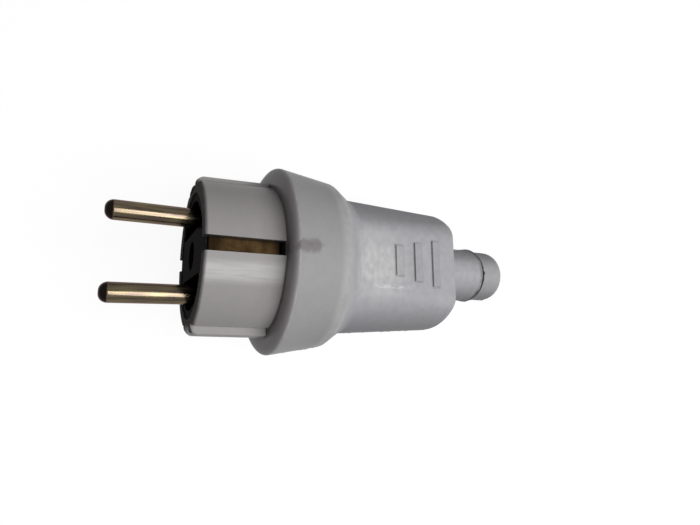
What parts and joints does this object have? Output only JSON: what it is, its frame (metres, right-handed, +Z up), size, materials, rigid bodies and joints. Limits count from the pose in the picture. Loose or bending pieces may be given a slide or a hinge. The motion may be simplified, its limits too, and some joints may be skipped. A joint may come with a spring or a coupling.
{
  "type": "rubber earthed plug",
  "caption": "Straight grey rubber mains plug with round pins, side earth contacts, a conical flange, a flattened grip with raised bars and a cable spout.",
  "frame": {"origin": "on the table under the middle of the whole plug as it lies", "axes": "+X from the pins towards the cable spout, +Z up; the plug's own axis slopes down towards the spout because it rests on its flange and the heel of its grip"},
  "size_m": [0.1164, 0.0488, 0.0489],
  "materials": {
    "grey_rubber": "matte, moulded, slightly soiled",
    "black_plastic": "glossy",
    "pin_metal": "nickel-plated, worn, fine lengthwise lines",
    "earth_brass": "tarnished",
    "plated_steel": "zinc-plated"
  },
  "bodies": {
    "root": {"rubber_body": "grey_rubber", "pin_carrier": "black_plastic", "earth_bow": "earth_brass", "carrier_back": "black_plastic", "line_pin": "pin_metal", "line_terminal_screw": "plated_steel", "neutral_pin": "pin_metal", "neutral_terminal_screw": "plated_steel", "earth_terminal_washer": "plated_steel", "earth_terminal_screw": "plated_steel", "front_screw": "plated_steel", "front_screw_nut": "plated_steel", "cord_clamp_bar": "black_plastic", "cord_clamp_screw_left": "plated_steel", "cord_clamp_nut_left": "plated_steel", "cord_clamp_screw_right": "plated_steel", "cord_clamp_nut_right": "plated_steel"}
  },
  "joints": []
}
